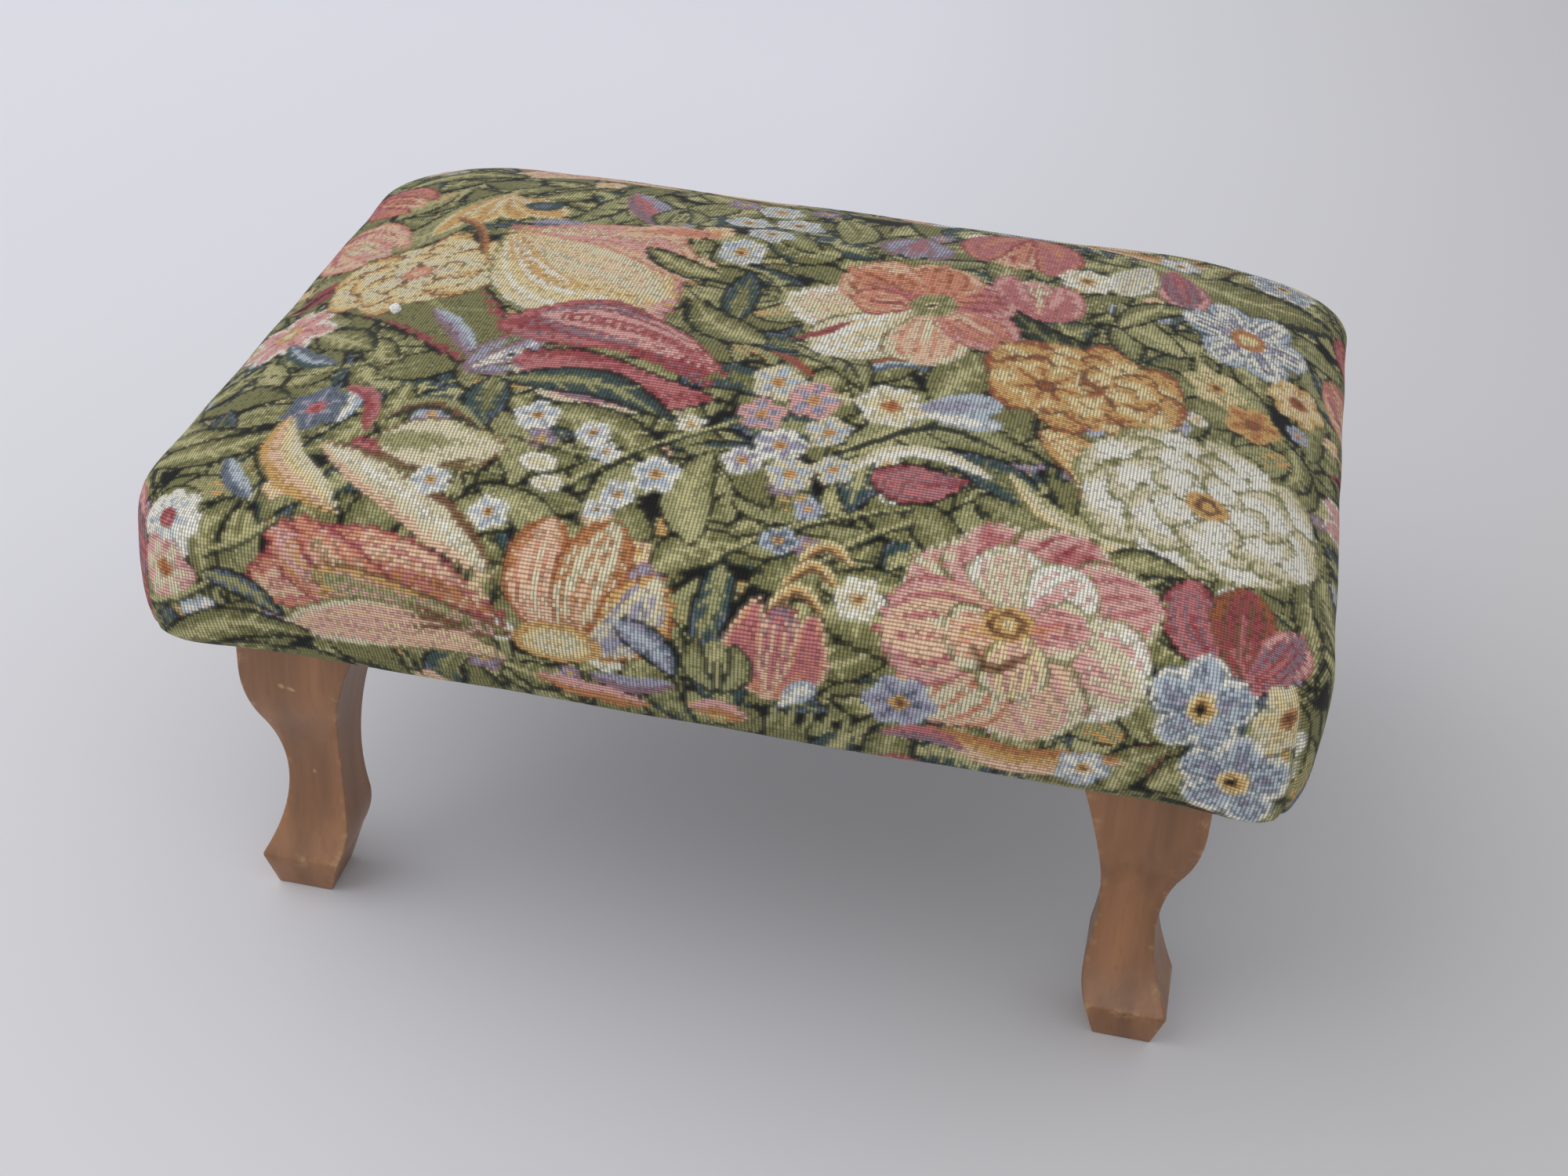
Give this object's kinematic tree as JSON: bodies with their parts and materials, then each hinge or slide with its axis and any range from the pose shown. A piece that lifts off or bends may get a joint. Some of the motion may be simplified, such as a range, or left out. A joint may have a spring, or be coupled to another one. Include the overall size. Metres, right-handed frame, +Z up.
{
  "type": "upholstered footstool",
  "caption": "Low rectangular footstool with a crowned, tapestry-covered cushion on a webbed wooden frame and sawn cabriole legs.",
  "frame": {"origin": "on the floor, under the middle of the cushion", "axes": "+X along the length, left to right seen from the front; +Y from the front to the back; +Z up"},
  "size_m": [0.4, 0.298, 0.2134],
  "materials": {
    "tapestry": "woven floral tapestry with a ribbed face",
    "leg_wood": "mid-brown stained and lacquered beech, worn at the edges",
    "frame_wood": "planed pine, unfinished",
    "wadding": "white polyester wadding",
    "foam": "open-cell seat foam",
    "hessian": "plain jute hessian",
    "webbing": "herringbone jute webbing",
    "dust_cloth": "black spunbonded cloth",
    "zinc_steel": "zinc plated"
  },
  "bodies": {
    "root": {"tapestry_cover": "tapestry", "wadding_wrap": "wadding", "foam_pad": "foam", "hessian_cloth": "hessian", "webbing_long_front": "webbing", "webbing_long_back": "webbing", "webbing_cross_left": "webbing", "webbing_cross_middle": "webbing", "webbing_cross_right": "webbing", "front_rail": "frame_wood", "back_rail": "frame_wood", "left_rail": "frame_wood", "right_rail": "frame_wood", "rail_dowels": "frame_wood", "corner_block_front_left": "frame_wood", "corner_block_front_right": "frame_wood", "corner_block_back_left": "frame_wood", "corner_block_back_right": "frame_wood", "block_screws": "zinc_steel", "leg_front_left": "leg_wood", "leg_front_right": "leg_wood", "leg_back_left": "leg_wood", "leg_back_right": "leg_wood", "hanger_bolts": "zinc_steel", "leg_washers": "zinc_steel", "leg_nuts": "zinc_steel", "dust_cover": "dust_cloth"}
  },
  "joints": []
}
